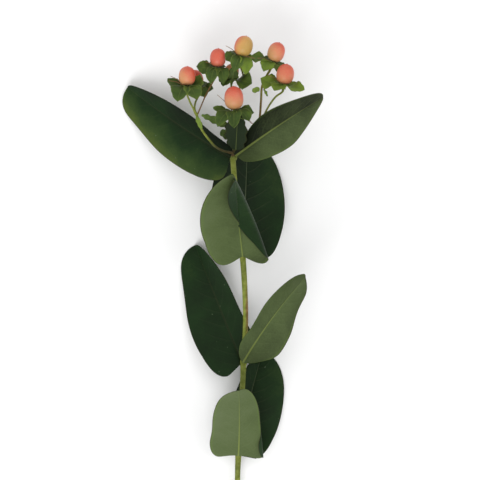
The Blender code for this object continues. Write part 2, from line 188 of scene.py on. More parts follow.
def swept(name, routes, radius, sides, paint):
    """Tubes along the routes as one plain mesh."""
    guide = guide_curve(name, routes)
    sweep = guide.modifiers.new("sweep", "NODES")
    sweep.node_group = sweep_tree(name + "_sweep")
    given = {"Radius": radius * MM, "Sides": sides, "Material": paint}
    for socket in sweep.node_group.interface.items_tree:
        if socket.name in given:
            sweep[socket.identifier] = given[socket.name]
    graph = bpy.context.evaluated_depsgraph_get()
    mesh = bpy.data.meshes.new_from_object(guide.evaluated_get(graph))
    bpy.data.objects.remove(guide)
    welded(mesh, WELD, outwards=True)
    mesh.name = name
    return finished(name, mesh, [paint])


def finished(name, mesh, paints):
    piece = bpy.data.objects.new(name, mesh)
    bpy.context.scene.collection.objects.link(piece)
    for paint in paints[len(mesh.materials):]:
        mesh.materials.append(paint)
    mesh.polygons.foreach_set("use_smooth", np.ones(len(mesh.polygons), bool))
    return piece


def put_values(mesh, name, values):
    made = mesh.attributes.new(name, "FLOAT", "POINT")
    made.data.foreach_set("value", np.asarray(values, np.float32).ravel())


def plain_paint(name, roughness, specular):
    paint = bpy.data.materials.new(name)
    paint.use_nodes = True
    shader = paint.node_tree.nodes["Principled BSDF"]
    shader.inputs["Roughness"].default_value = roughness
    shader.inputs["Specular IOR Level"].default_value = specular
    return paint, paint.node_tree, shader


def sums(tree, operation, first, second=None, third=None, clamp=False):
    node = tree.nodes.new("ShaderNodeMath")
    node.operation = operation
    node.use_clamp = clamp
    for slot, value in zip(node.inputs, (first, second, third)):
        if isinstance(value, (int, float)):
            slot.default_value = value
        elif value is not None:
            tree.links.new(value, slot)
    return node.outputs[0]


def grain(tree, scale, detail=3.0, rough=0.55):
    """Noise from the object's own coordinates, 0 to 1."""
    place = tree.nodes.new("ShaderNodeTexCoord")
    node = tree.nodes.new("ShaderNodeTexNoise")
    node.inputs["Scale"].default_value = scale
    node.inputs["Detail"].default_value = detail
    node.inputs["Roughness"].default_value = rough
    tree.links.new(place.outputs["Object"], node.inputs["Vector"])
    return node.outputs["Fac"]


def cloud(tree, scale, size, detail=3.0):
    """Noise that swings around 0, by half the size either way."""
    return sums(tree, "MULTIPLY_ADD", grain(tree, scale, detail), size, -size / 2)


def value_of(tree, name):
    node = tree.nodes.new("ShaderNodeAttribute")
    node.attribute_name = name
    return node.outputs["Fac"]


def between(tree, value, low, high):
    """0 below low, 1 above high, smooth between."""
    node = tree.nodes.new("ShaderNodeMapRange")
    node.interpolation_type = "SMOOTHSTEP"
    node.inputs["From Min"].default_value = low
    node.inputs["From Max"].default_value = high
    tree.links.new(value, node.inputs["Value"])
    return node.outputs["Result"]


def colours(tree, value, *stops):
    node = tree.nodes.new("ShaderNodeValToRGB")
    row = node.color_ramp.elements
    while len(row) < len(stops):
        row.new(0.5)
    for element, (place, colour) in zip(row, stops):
        element.position = place
        element.color = (*colour, 1.0)
    tree.links.new(value, node.inputs["Fac"])
    return node.outputs["Color"]


def mixed(tree, share, first, second):
    node = tree.nodes.new("ShaderNodeMix")
    node.data_type = "RGBA"
    for slot, value in ((0, share), (6, first), (7, second)):
        if isinstance(value, (int, float)):
            node.inputs[slot].default_value = value
        elif isinstance(value, tuple):
            node.inputs[slot].default_value = (*value, 1.0)
        else:
            tree.links.new(value, node.inputs[slot])
    return node.outputs[2]


def bumped(tree, shader, height, distance, strength=0.6):
    node = tree.nodes.new("ShaderNodeBump")
    node.inputs["Strength"].default_value = strength
    node.inputs["Distance"].default_value = distance
    tree.links.new(height, node.inputs["Height"])
    tree.links.new(node.outputs["Normal"], shader.inputs["Normal"])


def bark_paint():
    paint, tree, shader = plain_paint("bark", 0.5, 0.14)
    streaks = grain(tree, 420.0, 4.0)
    green = colours(tree, streaks, (0.3, (0.115, 0.145, 0.016)), (0.5, (0.175, 0.205, 0.032)),
                    (0.75, (0.25, 0.28, 0.065)))
    red = colours(tree, streaks, (0.3, (0.085, 0.030, 0.016)), (0.7, (0.20, 0.075, 0.040)))
    share = sums(tree, "ADD", value_of(tree, "blush"), cloud(tree, 130.0, 0.5))
    share = sums(tree, "MULTIPLY", between(tree, share, 0.2, 0.9), 0.8)
    # Painted shade: the bark turns near black where the leaf bases and the flower head shade it.
    dark = mixed(tree, value_of(tree, "shade"), mixed(tree, share, green, red), (0.02, 0.03, 0.01))
    tree.links.new(dark, shader.inputs["Base Color"])
    bumped(tree, shader, sums(tree, "ADD", streaks, grain(tree, 1500.0)), 0.0001)
    return paint


def stalk_routes():
    """Each stalk's route with its thickness, and its plain path with the redness at its ends."""
    routes, reds = [], []
    for radius, key, foot_red, end_red, route in STALKS:
        points = list(route)
        if key:
            cup, toward = cup_of(key)
            points.append(tuple(cup - toward * (SEPAL_DEPTH + STRAIGHT)))
            points.append(tuple(cup - toward * CUP_INSET))
        path = smooth_path(points, STALK_STEPS)
        share = np.linspace(0, 1, len(path))
        flare = share ** FLARE_POWER * (STALK_FLARE if key else 0.0)
        foot = STALK_FOOT * np.exp(-(share * FOOT_FALL) ** 2)
        thickness = radius * (1 + flare + foot)
        routes.append([(*point, thick) for point, thick in zip(path, thickness)])
        reds.append((path, foot_red, end_red))
    return routes, reds


def main_route():
    path = smooth_path(MAIN_AXIS, MAIN_STEPS)
    swelling = sum(np.exp(-((path[:, 1] - knot) / KNOT_REACH) ** 2) for knot in KNOTS)
    path[:, 3] = STEM_RADIUS * (path[:, 3] - BARK_INSET) * (1 + KNOT_SWELLING * swelling)
    return [tuple(point) for point in path]


def stalk_blush(places, reds):
    """Redness of the points that lie on a stalk, and which points do."""
    blush = np.zeros(len(places))
    nearest = np.full(len(places), FAR)
    for path, foot_red, end_red in reds:
        for k, point in enumerate(path):
            reach = ((places - point) ** 2).sum(1)
            closer = reach < np.minimum(nearest, STALK_REACH ** 2)
            nearest = np.where(closer, reach, nearest)
            blush = np.where(closer, foot_red + (end_red - foot_red) * k / (len(path) - 1), blush)
    return blush, nearest < FAR


def tint_bark(mesh, reds):
    """Puts how red the bark is on each point of the mesh, and how dark the painted shade makes it."""
    places = np.array([v.co for v in mesh.vertices]) / MM + np.array(CENTRE)
    facing = np.array([v.normal for v in mesh.vertices])
    along = places[:, 1]
    sunny = np.clip(1 - np.abs(along - SUN_PLACE) / SUN_REACH, 0, 1)
    sunny = sunny * np.clip(facing[:, 0] * 1.4 + 0.3, 0, 1)
    blush, on_stalk = stalk_blush(places, reds)
    blush = np.where(on_stalk, blush, PLAIN_BLUSH + SUN_BLUSH * sunny * (along < BLUSH_END))
    # Painted shade next to the knots, where the leaf bases and the flower head shade the stem.
    shade = np.zeros(len(places))
    for place, reach, darkness in PAINTED_SHADES:
        shade = np.maximum(shade, darkness * np.exp(-((along - place) / reach) ** 2))
    put_values(mesh, "blush", blush)
    put_values(mesh, "shade", shade)


bark = bark_paint()
routes, reds = stalk_routes()
stem = swept("woody_stem", [main_route()] + routes, 1.0, STEM_SIDES, bark)
tint_bark(stem.data, reds)
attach(stem, "root")
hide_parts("stem")

# Leaves
# Four pairs of stalkless oval leaves, each pair crossed with the next. A leaf is one thin blade,
# waxy and dark green above, pale and matt below, with a midrib that stands out below, veins that
# arch to the tip and a thin brown edge. It is grown to the knot of the stem by its midrib.
# Light and shade are painted on each leaf half by half, so a half turned from the light is painted
# darker.

# base: where the midrib leaves the stem. head, rise and roll: compass direction, slope and tilt
# at the base; sway, bend and twist: their change up to the tip. fold, open and curl: slope of the
# left and right half at the midrib, its change up to the tip, and its change out to the edge.
# share, half: each half's width as a share of the half width. lobe, clasp: how far the base
# reaches back past the stem, and how fast. skew, full: where the blade is widest, how full its
# outline is at base and tip. trim: small factors on the left and the right width, base to tip.
# crease: two points of the straight line that a half turns over at, the turn and its radius.
# slim: how much narrower the left half is at the base, and how far up that reaches.
# under: 1 where the under side faces up, -1 where the upper side does.
# tone_and_shading: painted light and shade with the leaf's own tone, as brightness at the left edge,
# the midrib and the right edge, and its change up to the tip. fading: how much brighter the painted
# light makes the left edge towards the tip. sharp: how fast the edge's painted brightness sets in beside
# the midrib, small for at once. pale: how pale the veins of the upper side are.
LEAVES = {
    "leaf_a_front": dict(
        base=(-0.9, -127.8, 11.5),
        head=87.4, sway=5, rise=46.9, bend=6.5, roll=-0.1, twist=17,
        fold=(-5, 3.1), open=(-4.7, -12.5), curl=(5.5, -9.2),
        length=65.9, half=16.9, share=(1, 0.93), lobe=3.8, clasp=1.1,
        skew=1.36, full=(0.48, 0.82),
        trim=((1.07, 1.14, 0.92, 1.0, 1.11), (1.22, 1.24, 0.78, 0.81, 0.79)),
        crease=((40.0, -11.2), (6, -13.5), 165, 0.55),
        under=1, tone_and_shading=(0.62, 0.50, 0.46, 0.06),
    ),
    "leaf_a_back": dict(
        base=(-0.8, -127.1, 6.1),
        head=79.9, sway=-6.6, rise=-9.2, bend=7.8, roll=-2.6, twist=24.2,
        fold=(9.1, 9.3), open=(7.2, 13.4), curl=(41.9, -8.2),
        length=62.2, half=18.9, share=(0.63, 1.09), lobe=2.4,
        skew=1.2, full=(0.68, 0.88),
        under=-1, tone_and_shading=(0.22, 0.26, 0.44, 0.0), pale=0.6,
    ),
    "leaf_b_back": dict(
        base=(1.2, -73, 13.1),
        head=112.2, sway=-0.5, rise=-9.9, bend=0.6, roll=0.2, twist=-7,
        fold=(0.2, -3.1), open=(4.7, 54.1), curl=(-8.8, 15.6),
        length=76.3, half=19, share=(1.12, 0.75), lobe=5.2, clasp=0.9,
        skew=1.43, full=(0.59, 0.91),
        trim=((0.85, 1.04, 1.04, 0.87, 1.1), (1.12, 0.99, 0.81, 1.05, 1.1)),
        under=-1, tone_and_shading=(0.34, 0.24, 0.28, 0.04),
    ),
    "leaf_b_front": dict(
        base=(2, -72.2, 18.1),
        head=60.5, sway=-10.7, rise=35.3, bend=2.9, roll=-5.5, twist=-22.9,
        fold=(-5.3, -3.9), open=(-31.1, 24.7), curl=(-9.1, 16.1),
        length=76.9, half=15.9, share=(0.83, 0.96), lobe=-1.4,
        skew=0.8, full=(0.77, 0.51),
        trim=((1.14, 0.66, 0.84, 0.94, 0.62), (1.02, 1.23, 1.09, 0.89, 1.06)),
        under=1, tone_and_shading=(0.42, 0.40, 0.30, 0.12),
    ),
    "leaf_c_front": dict(
        base=(1.5, -9, 26.4),
        head=96.7, sway=0.4, rise=45.9, bend=14, roll=5.8, twist=4.8,
        fold=(-1, 19.2), open=(9.8, -6.3), curl=(-0.8, 19.6),
        length=77, half=22.5, share=(1, 0.94), lobe=7.4, clasp=0.55,
        skew=1.17, full=(0.66, 0.82),
        crease=((74.8, 1), (-5, -16), 172, 1.9),
        under=1, tone_and_shading=(0.60, 0.42, 0.31, 0.04),
    ),
    "leaf_c_back": dict(
        base=(1.5, -9, 21.4),
        head=86.7, sway=1.8, rise=-13.3, bend=-2, roll=-0.8, twist=16,
        fold=(11.2, 3.4), open=(5.3, -12.2), curl=(5.9, -4.3),
        length=71.6, half=22.1, share=(1, 1.09), lobe=3.2,
        skew=1.2, full=(0.63, 0.87),
        under=-1, tone_and_shading=(0.20, 0.22, 0.42, 0.0), pale=1.0,
    ),
    "leaf_d_back": dict(
        base=(-5.4, 47.8, 29.4),
        head=148.3, sway=-6.8, rise=-24.2, bend=10, roll=3.9, twist=-20,
        fold=(-3, -12.3), open=(4.6, 46.3), curl=(-17.9, 30.4),
        length=80.3, half=20.2, share=(1.01, 0.45), lobe=4.8,
        skew=1.13, full=(0.58, 0.76),
        trim=((0.99, 1.09, 1.04, 0.89, 1.1), (1.0, 0.77, 1.01, 1.11, 1.0)),
        under=-1, tone_and_shading=(0.80, 0.14, -0.10, 0.26),
    ),
    "leaf_d_front": dict(
        base=(-2.2, 49.4, 34.4),
        head=34.4, sway=-6.4, rise=42.8, bend=4.2, roll=23.6, twist=-41.7,
        fold=(-15.5, -8.3), open=(-24.4, 39.7), curl=(-23.7, -4.8),
        length=79.5, half=13.3, share=(0.95, 1.01), lobe=4,
        skew=0.94, full=(0.61, 1.0), slim=(0.7, 0.22), sharp=0.3,
        trim=((1.0, 1.02, 1.0, 0.98, 1.03), (1.0, 1.06, 1.02, 1.02, 0.85)),
        under=1, tone_and_shading=(-0.24, 0.05, 0.45, 0.0), fading=0.5,
    ),
}
LEAF_ROWS = 120
LEAF_COLUMNS = 34
BLADE_HALF = 0.24
VEINS = 8.5
VEIN_SLANT = 0.24
VEIN_BEND = 1.3
VEIN_SHIFT = 0.37
VEIN_SKEW = 1.35
EDGE_CROWDING = 1.25
LOBE_REACH = 0.36
CLASP = 1.2
SHARP = 1.2
TRIM_REACH = 0.13
UNTRIMMED = ((1,) * 5, (1,) * 5)
WAVE = 0.5
RIM_THINNING = 0.55
VEIN_RELIEF = 0.10
UPPER_RELIEF = 0.8
VEIN_WIDTH = 0.09
RIB_TIP = 0.10
RIB_HEIGHT = 0.6
RIB_NARROW = 0.35
RIB_WIDENING = 0.5
GROOVE_DEPTH = 0.35
GROOVE_WIDTH = 0.6
EDGE_RIPPLE = 0.30
BLADE_WELD = 0.0005


def outline(t, leaf):
    """Flat edge for t from base to tip: distance along the midrib and out from it."""
    turn = math.pi * t
    along = ((1 - np.cos(turn)) / 2) ** leaf["skew"]
    base_full, tip_full = leaf["full"]
    out = np.maximum(np.sin(turn), 0) ** (base_full + (tip_full - base_full) * along)
    reach = np.sin(math.pi * np.clip(t / LOBE_REACH, 0, 1))
    back = leaf["lobe"] * reach ** leaf.get("clasp", CLASP)
    return leaf["length"] * along - back, leaf["half"] * out


def trimmed(t, shares):
    """Smooth factor on the half width: one share for each fifth of the way from base to tip."""
    near = np.exp(-((t - np.linspace(0.1, 0.9, 5)) / TRIM_REACH) ** 2)
    return (near @ np.array(shares) / near.sum(1))[:, None]


def midrib(leaf):
    """Distances along the midrib with its point, sideways and upward directions."""
    u = np.linspace(-0.25, 1.06, 240) * leaf["length"]
    share = np.clip(u / leaf["length"], 0, 1.06)
    head = np.radians(leaf["head"] + leaf["sway"] * share)
    rise = np.radians(leaf["rise"] + leaf["bend"] * share)
    roll = np.radians(leaf["roll"] + leaf["twist"] * share)[:, None]
    ahead = np.stack([np.cos(head) * np.cos(rise), np.sin(head) * np.cos(rise), np.sin(rise)], 1)
    level = np.stack([-np.sin(head), np.cos(head), 0 * head], 1)
    side = level * np.cos(roll) + np.cross(ahead, level) * np.sin(roll)
    up = np.cross(ahead, side)
    steps = (ahead[1:] + ahead[:-1]) / 2 * np.diff(u)[:, None]
    place = np.vstack([[0, 0, 0], np.cumsum(steps, 0)])
    start = np.array([np.interp(0, u, place[:, i]) for i in range(3)])
    return u, place - start + np.array(leaf["base"]), side, up


def turned_over(u, v, crease):
    """Flat points beyond a straight crease roll over it: along, across and height above."""
    (u0, v0), (u1, v1), turn, radius = crease
    reach = math.hypot(u1 - u0, v1 - v0)
    du, dv = (u1 - u0) / reach, (v1 - v0) / reach
    along = (u - u0) * du + (v - v0) * dv
    off = (v - v0) * du - (u - u0) * dv
    past = np.maximum(off, 0)
    angle = np.minimum(past / radius, math.radians(turn))
    rest = past - angle * radius
    off = np.where(off > 0, radius * np.sin(angle) + rest * np.cos(angle), off)
    lift = radius * (1 - np.cos(angle)) + rest * np.sin(angle)
    return u0 + along * du - off * dv, v0 + along * dv + off * du, lift


def flat_blade(leaf, rows, columns):
    """Flat blade: distances along and out from the midrib, and the share of the half width."""
    t = np.linspace(0, 1, rows)[:, None]
    s = np.linspace(-1, 1, 2 * columns + 1)[None, :]
    s = np.sign(s) * np.abs(s) ** EDGE_CROWDING
    edge_u, edge_v = outline(t, leaf)
    if "teeth" in leaf:
        count, depth = leaf["teeth"]
        edge_v = edge_v * (1 - depth * np.abs((t * count) % 1.0 - 0.5) * 2)
    vein_u = leaf["length"] * ((1 - np.cos(math.pi * t)) / 2) ** (leaf["skew"] * VEIN_SKEW)
    u = vein_u + (edge_u - vein_u) * np.abs(s)
    slimmer, reach = leaf.get("slim", (0.0, 1.0))
    narrow = 1 - slimmer * np.exp(-(u / (reach * leaf["length"])) ** 2)
    left_trim, right_trim = (trimmed(t, shares) for shares in leaf.get("trim", UNTRIMMED))
    left, right = leaf["share"]
    v = edge_v * s * np.where(s > 0, left * narrow * left_trim, right * right_trim)
    return u, v, s + 0 * u


def blade(leaf, rows, columns):
    """Rows from base to tip, each from the right edge over the midrib to the left edge, with the
    share of the length and of the half width of each point, and its distance from the midrib."""
    flat_u, flat_v, side_share = flat_blade(leaf, rows, columns)
    u, v, lift = flat_u, flat_v, np.zeros_like(flat_u)
    if "crease" in leaf:
        u, v, lift = turned_over(u, v, leaf["crease"])
    left = v > 0
    share = np.clip(u / leaf["length"], 0, 1)
    slope = np.radians(np.where(left, *leaf["fold"]) + np.where(left, *leaf["open"]) * share)
    bend = np.radians(np.where(left, *leaf["curl"])) / leaf["half"] + 1e-6
    out = np.abs(v)
    steep = slope + bend * out
    across = (np.sin(steep) - np.sin(slope)) / bend - lift * np.sin(steep)
    above = (np.cos(slope) - np.cos(steep)) / bend + lift * np.cos(steep)
    wave = np.sin(3 * math.pi * share + np.where(left, 1.3, 0.0))
    above = above + leaf.get("wave", WAVE) * (out / leaf["half"]) ** 2 * wave
    along, place, side, up = midrib(leaf)
    place, side, up = (np.stack([np.interp(u, along, rail[:, i]) for i in range(3)], -1)
                       for rail in (place, side, up))
    points = place + side * (np.where(left, across, -across))[..., None] + up * above[..., None]
    return points, np.clip(flat_u / leaf["length"], -0.1, 1), side_share, flat_v


def blade_faces(rows, columns):
    """Faces of the top, the bottom and the two rims of a blade, in that order."""
    index = np.arange(rows * columns).reshape(rows, columns)
    low = rows * columns
    a, b, c, d = index[:-1, :-1], index[1:, :-1], index[1:, 1:], index[:-1, 1:]
    faces = [np.stack([a, b, c, d], -1).reshape(-1, 4),
             np.stack([a, d, c, b], -1).reshape(-1, 4) + low]
    for edge, turn in ((index[:, 0], 1), (index[:, -1], -1)):
        faces.append(np.stack([edge[:-1], edge[:-1] + low, edge[1:] + low, edge[1:]], -1)[:, ::turn])
    return faces


def blade_normals(points):
    normal = np.cross(np.gradient(points, axis=0), np.gradient(points, axis=1))
    size = np.linalg.norm(normal, axis=-1, keepdims=True)
    normal = normal / np.maximum(size, 1e-9)
    normal[0], normal[-1] = normal[1], normal[-2]
    return normal


def closed_blade(name, points, top_lift, bottom_lift, values, paints, top_paint):
    """A blade with two faces and a rim: lifts are how far each face stands off the middle."""
    normal = blade_normals(points)
    top = points + normal * top_lift[..., None]
    bottom = points - normal * bottom_lift[..., None]
    verts = (np.concatenate([top.reshape(-1, 3), bottom.reshape(-1, 3)]) - np.array(CENTRE)) * MM
    faces = blade_faces(*points.shape[:2])
    mesh = bpy.data.meshes.new(name)
    mesh.from_pydata(verts.tolist(), [], np.concatenate(faces).tolist())
    for key, value in values.items():
        put_values(mesh, key, np.concatenate([value.ravel(), value.ravel()]))
    slots = np.repeat([top_paint, 1 - top_paint, 0, 0], [len(f) for f in faces]).astype(np.int32)
    mesh.polygons.foreach_set("material_index", slots)
    welded(mesh, BLADE_WELD)
    return finished(name, mesh, paints)


def pulse(value, width):
    """1 on the whole numbers, 0 further off than the width."""
    near = np.abs((value + 0.5) % 1.0 - 0.5)
    return np.clip(1 - near / width, 0, 1)


def blade_lifts(leaf, along, across, off):
    """How far the under side and the upper side stand off the middle, with midrib and veins."""
    vein = (along - VEIN_SLANT * np.abs(across) ** VEIN_BEND) * VEINS + VEIN_SHIFT * (across > 0)
    body = np.clip(1.0 - along, 0.0, 1.0)
    thick = BLADE_HALF * (1 - RIM_THINNING * np.abs(across) ** 6)
    width = RIB_NARROW + RIB_WIDENING * body
    rib = np.exp(-(off / width) ** 2) * (RIB_TIP + RIB_HEIGHT * body ** 0.8) * leaf.get("rib", 1.0)
    groove = GROOVE_DEPTH * np.exp(-(off / GROOVE_WIDTH) ** 2) * body
    inner = np.clip(1 - np.abs(across), 0, 0.5)
    relief = pulse(vein, VEIN_WIDTH) * inner * np.clip(np.abs(off) / 2, 0, 1)
    under = thick + rib + VEIN_RELIEF * relief
    upper = thick - groove - UPPER_RELIEF * VEIN_RELIEF * relief
    return under, upper


# Painted light and shade: each half of a leaf gets its own brightness, darker where it turns from the
# light.
def leaf_tone_and_shading(leaf, along, across):
    left, middle, right, rising = leaf["tone_and_shading"]
    edge = np.where(across > 0, left + leaf.get("fading", 0.0) * along, right)
    return middle + (edge - middle) * np.abs(across) ** leaf.get("sharp", SHARP) + rising * along


def leaf_piece(name, leaf, paints, number, rows=LEAF_ROWS, columns=LEAF_COLUMNS):
    points, along, across, off = blade(leaf, rows, columns)
    under, upper = blade_lifts(leaf, along, across, off)
    margin = EDGE_RIPPLE * np.abs(across) ** 4
    ripple = margin * np.sin(11.0 * along + 2.1 * number + 1.7 * np.sign(across))
    if leaf["under"] > 0:
        top_lift, bottom_lift, top_paint = under + ripple, upper - ripple, 1
    else:
        ripple = (ripple + margin) / 2
        top_lift, bottom_lift, top_paint = upper + ripple, under - ripple, 0
    # Painted light and shade, with the leaf's own tone, half by half.
    tone_and_shading = leaf_tone_and_shading(leaf, along, across)
    pale = np.full(tone_and_shading.shape, leaf.get("pale", 0.0))
    values = {"along": along, "across": across, "tone_and_shading": tone_and_shading, "off": off, "pale": pale}
    return closed_blade(name, points, top_lift, bottom_lift, values, paints, top_paint)


def vein_lines(tree, thin):
    """Side veins as thin lines that leave the midrib and arch towards the tip."""
    across = value_of(tree, "across")
    out = sums(tree, "ABSOLUTE", across)
    bent = sums(tree, "MULTIPLY", sums(tree, "POWER", out, VEIN_BEND), -VEIN_SLANT)
    place = sums(tree, "ADD", value_of(tree, "along"), bent)
    place = sums(tree, "ADD", place, cloud(tree, 90.0, 0.03))
    shift = sums(tree, "MULTIPLY", sums(tree, "GREATER_THAN", across, 0.0), VEIN_SHIFT)
    turn = sums(tree, "FRACT", sums(tree, "ADD", sums(tree, "MULTIPLY_ADD", place, VEINS, 0.5), shift))
    near = sums(tree, "ABSOLUTE", sums(tree, "SUBTRACT", turn, 0.5))
    line = sums(tree, "SUBTRACT", 1.0, between(tree, near, thin * 0.3, thin))
    fading = sums(tree, "SUBTRACT", 1.0, between(tree, out, 0.35, 0.9))
    return sums(tree, "MULTIPLY", line, fading)


def rib_line(tree, width):
    off = sums(tree, "ABSOLUTE", value_of(tree, "off"))
    body = sums(tree, "SUBTRACT", 1.0, value_of(tree, "along"), clamp=True)
    wide = sums(tree, "MULTIPLY_ADD", body, width * 0.75, width * 0.25)
    return sums(tree, "SUBTRACT", 1.0, between(tree, sums(tree, "DIVIDE", off, wide), 0.55, 1.25))


def rimmed(tree, start, end, strength, inside, rim):
    """The inside colour, with the rim's colour setting in between two shares of the half width."""
    out = sums(tree, "ABSOLUTE", value_of(tree, "across"))
    share = sums(tree, "MULTIPLY", between(tree, out, start, end), strength)
    return mixed(tree, share, inside, rim)


def mottled_tone_and_shading(tree, coarse, fine):
    """The blade's own tone with painted light and shade, and coarse and fine mottling: scale, size and
    detail of each.
    """
    tone_and_shading = sums(tree, "ADD", value_of(tree, "tone_and_shading"), cloud(tree, *coarse))
    return sums(tree, "ADD", tone_and_shading, cloud(tree, *fine))


def leaf_under_paint():
    paint, tree, shader = plain_paint("leaf_under", 0.62, 0.08)
    tone_and_shading = mottled_tone_and_shading(tree, (45.0, 0.5, 2.0), (900.0, 0.24, 2.0))
    green = colours(tree, tone_and_shading, (0.0, (0.008, 0.012, 0.005)), (0.5, (0.072, 0.100, 0.036)),
                    (1.0, (0.120, 0.150, 0.075)))
    vein_share = sums(tree, "MULTIPLY", vein_lines(tree, 0.07), 0.07)
    veined = mixed(tree, vein_share, green, (0.14, 0.18, 0.08))
    fresh = rimmed(tree, 0.86, 0.97, 0.3, veined, (0.10, 0.16, 0.03))
    fading = sums(tree, "MULTIPLY_ADD", value_of(tree, "along"), -0.65, 0.80, clamp=True)
    rib_share = sums(tree, "MULTIPLY", rib_line(tree, 0.55), fading)
    ribbed = mixed(tree, rib_share, fresh, (0.165, 0.205, 0.050))
    edged = rimmed(tree, 0.975, 0.992, 0.75, ribbed, (0.030, 0.022, 0.010))
    tree.links.new(edged, shader.inputs["Base Color"])
    bumped(tree, shader, sums(tree, "ADD", grain(tree, 1400.0), vein_lines(tree, 0.14)), 0.00012, 0.5)
    return paint


def leaf_upper_paint():
    paint, tree, shader = plain_paint("leaf_upper", 0.42, 0.10)
    tone_and_shading = mottled_tone_and_shading(tree, (50.0, 0.7, 2.0), (700.0, 0.2, 3.0))
    green = colours(tree, tone_and_shading, (0.0, (0.0045, 0.0090, 0.0035)), (0.4, (0.0085, 0.0250, 0.0060)),
                    (0.75, (0.030, 0.056, 0.013)), (1.0, (0.065, 0.095, 0.018)))
    pale = value_of(tree, "pale")
    paleness = sums(tree, "MULTIPLY_ADD", pale, 0.12, 0.07)
    vein_share = sums(tree, "MULTIPLY", vein_lines(tree, 0.04), paleness)
    veined = mixed(tree, vein_share, green, (0.075, 0.080, 0.040))
    specks = sums(tree, "MULTIPLY", between(tree, grain(tree, 620.0, 0.0), 0.83, 0.88), 0.4)
    dotted = mixed(tree, specks, veined, (0.10, 0.14, 0.08))
    rim_share = sums(tree, "MULTIPLY", rib_line(tree, 0.85), 0.22)
    rims = mixed(tree, rim_share, dotted, (0.045, 0.060, 0.022))
    rib_tint = mixed(tree, pale, (0.012, 0.016, 0.006), (0.10, 0.125, 0.070))
    ribbed = mixed(tree, sums(tree, "MULTIPLY", rib_line(tree, 0.42), 0.65), rims, rib_tint)
    edged = rimmed(tree, 0.978, 0.994, 0.8, ribbed, (0.025, 0.020, 0.008))
    tree.links.new(edged, shader.inputs["Base Color"])
    bumped(tree, shader, sums(tree, "ADD", grain(tree, 1100.0), vein_lines(tree, 0.12)), 0.00015, 0.5)
    return paint


leaf_paints = [leaf_upper_paint(), leaf_under_paint()]
for number, (name, leaf) in enumerate(LEAVES.items()):
    piece = leaf_piece(name + "_blade", leaf, leaf_paints, number)
    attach(piece, "root")
    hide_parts(name)

# Young leaf and bracts
# A young leaf stands up in the middle of the flower head, painted dark for the shade it stands in,
# and small fresh green bracts sit on its branches. They are blades like the leaves, with toothed or
# wavy edges, grown to the bark.

YOUNG_ROWS = 48
YOUNG_COLUMNS = 12
# base, compass direction, slope, tilt, length, half width, teeth (how many, how deep), brightness,
# set low on the middle leaf as painted shade
BRACTS = {
    # The middle leaf's low brightness is painted shade.
    "leaf_middle": ((-2.2, 52.6, 37.7), 87, 32, -24, 22.5, 8.0, (6.0, 0.22), -0.28),
    "bract_branch": ((-22.3, 64.6, 38.4), 112, 4, 0, 8.0, 1.6, (4.0, 0.2), 0.75),
    "bract_left": ((-3.5, 65.0, 37.4), 158, 12, 0, 20.5, 2.6, (6.0, 0.40), 0.35),
    "bract_low": ((-3.6, 60.2, 33.6), 160, 8, 0, 8.5, 3.6, (3.0, 0.35), 0.15),
    "bract_stalk_left": ((11.4, 88.2, 34.8), 200, 6, 0, 4.6, 1.8, (2.0, 0.2), 0.8),
    "bract_stalk_right": ((13.9, 88.2, 33.4), -62, -11, 0, 5.0, 1.0, (3.0, 0.5), 0.8),
}


def young_paint(name, dark, middle, bright, rib, margin):
    paint, tree, shader = plain_paint(name, 0.5, 0.10)
    tone_and_shading = sums(tree, "ADD", value_of(tree, "tone_and_shading"), cloud(tree, 260.0, 0.7))
    green = colours(tree, tone_and_shading, (0.0, dark), (0.5, middle), (1.0, bright))
    veined = mixed(tree, sums(tree, "MULTIPLY", rib_line(tree, 0.4), 0.45), green, rib)
    edged = rimmed(tree, 0.86, 0.98, 0.5, veined, margin)
    tree.links.new(edged, shader.inputs["Base Color"])
    bumped(tree, shader, grain(tree, 1300.0), 0.00012)
    return paint


young_paints = [
    young_paint("bract_upper", (0.010, 0.018, 0.006), (0.055, 0.10, 0.015), (0.16, 0.26, 0.03),
                (0.10, 0.14, 0.03), (0.035, 0.035, 0.010)),
    young_paint("bract_under", (0.013, 0.024, 0.008), (0.075, 0.12, 0.025), (0.19, 0.28, 0.045),
                (0.14, 0.18, 0.05), (0.035, 0.035, 0.010)),
]
for number, (name, values) in enumerate(BRACTS.items()):
    base, head, rise, roll, length, half, teeth, tone_and_shading = values
    form = dict(base=base, head=head, sway=0, rise=rise, bend=-12, roll=roll, twist=0,
                fold=(8, 8), open=(0, 0), curl=(12, 12), length=length, half=half, share=(1, 1),
                lobe=0.0, skew=1.0, full=(0.8, 1.0), wave=0.0, teeth=teeth, under=1, rib=0.5,
                tone_and_shading=(tone_and_shading + 0.1, tone_and_shading, tone_and_shading + 0.1, 0.1))
    piece = leaf_piece(name + "_blade", form, young_paints, number, YOUNG_ROWS, YOUNG_COLUMNS)
    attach(piece, "root")
    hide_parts(name)

# Calyces
# Under each berry five green sepals are grown together into a small cup on the stalk's flared
# end. Each sepal is a thin oval blade with a middle vein and a wavy margin of a lighter
# yellow-green.

CUP_RADIUS = 2.3
SEPAL_SHARE = 0.5184
SEPAL_HALF = 0.2
SEPAL_ROWS = 26
SEPAL_COLUMNS = 17
SEPAL_START = -0.12
SEPAL_SPREAD = 0.45
SEPAL_SINK = 0.35
SEPAL_STAGGER = 0.09
SEPAL_RIB = 0.16
MARGIN_WAVE = 0.07
MARGIN_NICKS = 0.035
FACE_RIPPLE = 0.6
WIDEST_GAP = 1.6
FUNNEL = 3.4
FUNNEL_RINGS = 12
FUNNEL_SIDES = 24
